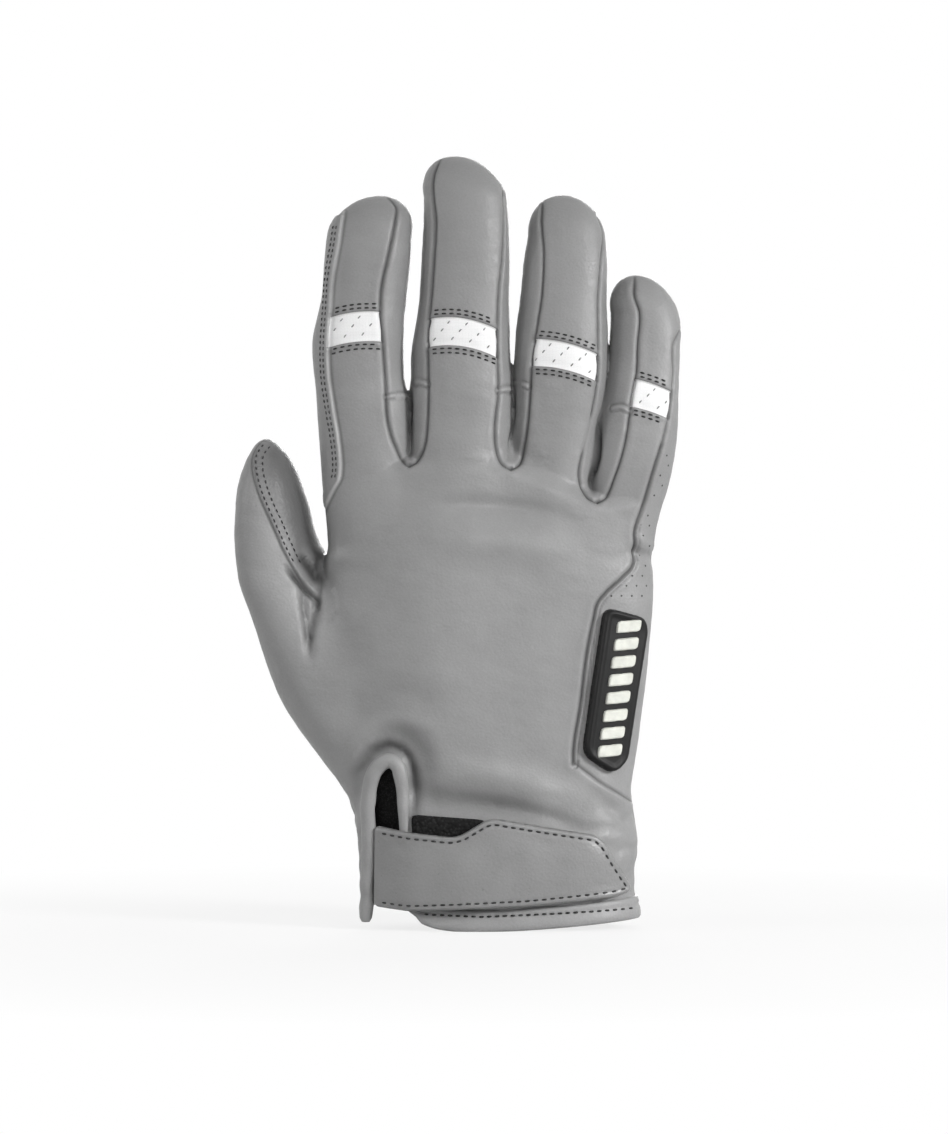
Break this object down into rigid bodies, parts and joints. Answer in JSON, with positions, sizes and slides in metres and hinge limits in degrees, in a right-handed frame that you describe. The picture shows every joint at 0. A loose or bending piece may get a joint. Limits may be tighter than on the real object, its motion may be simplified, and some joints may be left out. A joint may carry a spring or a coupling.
{
  "type": "racing glove",
  "caption": "Right-hand short-cuff leather racing glove with bending fingers and thumb, pale flex bands over the joints, a ribbed side badge, a bound wrist vent and a strap that peels open.",
  "frame": {"origin": "bottom centre of the bounding box, at the cuff rim", "axes": "+Z from the cuff to the fingertips, +Y to the palm side, -Y to the back of the hand, -X to the thumb"},
  "size_m": [0.1384, 0.043, 0.24],
  "materials": {
    "grey_leather": "soft grained light grey leather",
    "white_mesh": "white perforated stretch band",
    "black_fabric": "black napped loop and knit",
    "black_rubber": "moulded matt black",
    "pale_rubber": "moulded off-white"
  },
  "bodies": {
    "hand": {"back_panel": "grey_leather", "palm_panel": "grey_leather", "side_panel": "grey_leather", "badge_base": "black_rubber", "badge_ribs": "pale_rubber", "vent_binding": "grey_leather", "vent_gusset": "black_fabric", "cuff_hem": "grey_leather", "cuff_lining": "black_fabric", "loop_patch": "black_fabric", "thumb_base": "grey_leather", "thumb_fold": "grey_leather", "index_knuckle_fold": "grey_leather", "middle_knuckle_fold": "grey_leather", "ring_knuckle_fold": "grey_leather", "little_knuckle_fold": "grey_leather"},
    "index_base": {"index_base_back": "grey_leather", "index_base_wall": "grey_leather", "index_flex_band": "white_mesh", "index_flex_fold": "grey_leather"},
    "index_tip": {"index_tip_back": "grey_leather", "index_tip_palm": "grey_leather", "index_tip_gusset_inner": "grey_leather", "index_tip_gusset_outer": "grey_leather"},
    "middle_base": {"middle_base_back": "grey_leather", "middle_base_wall": "grey_leather", "middle_flex_band": "white_mesh", "middle_flex_fold": "grey_leather"},
    "middle_tip": {"middle_tip_back": "grey_leather", "middle_tip_palm": "grey_leather", "middle_tip_gusset_inner": "grey_leather", "middle_tip_gusset_outer": "grey_leather"},
    "ring_base": {"ring_base_back": "grey_leather", "ring_base_wall": "grey_leather", "ring_flex_band": "white_mesh", "ring_flex_fold": "grey_leather"},
    "ring_tip": {"ring_tip_back": "grey_leather", "ring_tip_palm": "grey_leather", "ring_tip_gusset_inner": "grey_leather", "ring_tip_gusset_outer": "grey_leather"},
    "little_base": {"little_base_back": "grey_leather", "little_base_wall": "grey_leather", "little_flex_band": "white_mesh", "little_flex_fold": "grey_leather"},
    "little_tip": {"little_tip_back": "grey_leather", "little_tip_palm": "grey_leather", "little_tip_gusset_inner": "grey_leather", "little_tip_gusset_outer": "grey_leather"},
    "thumb_tip": {"thumb_tip_back": "grey_leather", "thumb_tip_palm": "grey_leather", "thumb_patch": "grey_leather"},
    "strap": {"strap": "grey_leather", "hook_patch": "black_fabric"}
  },
  "joints": [
    {"name": "index_knuckle", "type": "hinge", "parent": "hand", "child": "index_base", "pos_m": [-0.02856, 0.00172, 0.15], "axis": [-0.9993, 0, 0.0384], "range_deg": [-15, 80], "deforming": ["index_knuckle_fold"]},
    {"name": "index_middle_joint", "type": "hinge", "parent": "index_base", "child": "index_tip", "pos_m": [-0.03017, 0.00253, 0.18529], "axis": [-0.9993, 0, 0.0384], "range_deg": [0, 85], "deforming": ["index_flex_band", "index_flex_fold"]},
    {"name": "middle_knuckle", "type": "hinge", "parent": "hand", "child": "middle_base", "pos_m": [0.00104, 0.00172, 0.15], "axis": [-0.9999, 0, 0.0105], "range_deg": [-15, 80], "deforming": ["middle_knuckle_fold"]},
    {"name": "middle_middle_joint", "type": "hinge", "parent": "middle_base", "child": "middle_tip", "pos_m": [0.00176, 0.00227, 0.18339], "axis": [-0.9999, 0, 0.0105], "range_deg": [0, 85], "deforming": ["middle_flex_band", "middle_flex_fold"]},
    {"name": "ring_knuckle", "type": "hinge", "parent": "hand", "child": "ring_base", "pos_m": [0.02944, 0.00172, 0.147], "axis": [-0.9986, 0, 0.0523], "range_deg": [-15, 80], "deforming": ["ring_knuckle_fold"]},
    {"name": "ring_middle_joint", "type": "hinge", "parent": "ring_base", "child": "ring_tip", "pos_m": [0.03207, 0.0023, 0.1775], "axis": [-0.9986, 0, 0.0523], "range_deg": [0, 85], "deforming": ["ring_flex_band", "ring_flex_fold"]},
    {"name": "little_knuckle", "type": "hinge", "parent": "hand", "child": "little_base", "pos_m": [0.05425, 0.00172, 0.14], "axis": [-0.9984, 0, 0.0558], "range_deg": [-15, 80], "deforming": ["little_knuckle_fold"]},
    {"name": "little_middle_joint", "type": "hinge", "parent": "little_base", "child": "little_tip", "pos_m": [0.0576, 0.00234, 0.16445], "axis": [-0.9984, 0, 0.0558], "range_deg": [0, 85], "deforming": ["little_flex_band", "little_flex_fold"]},
    {"name": "thumb_bend", "type": "hinge", "parent": "hand", "child": "thumb_tip", "pos_m": [-0.05556, 0.00672, 0.114], "axis": [-1, 0, 0], "range_deg": [-10, 60], "deforming": ["thumb_fold"]},
    {"name": "strap_peel", "type": "hinge", "parent": "hand", "child": "strap", "pos_m": [-0.02405, -0.01568, 0.019], "axis": [0, 0, -1], "range_deg": [0, 140]}
  ]
}
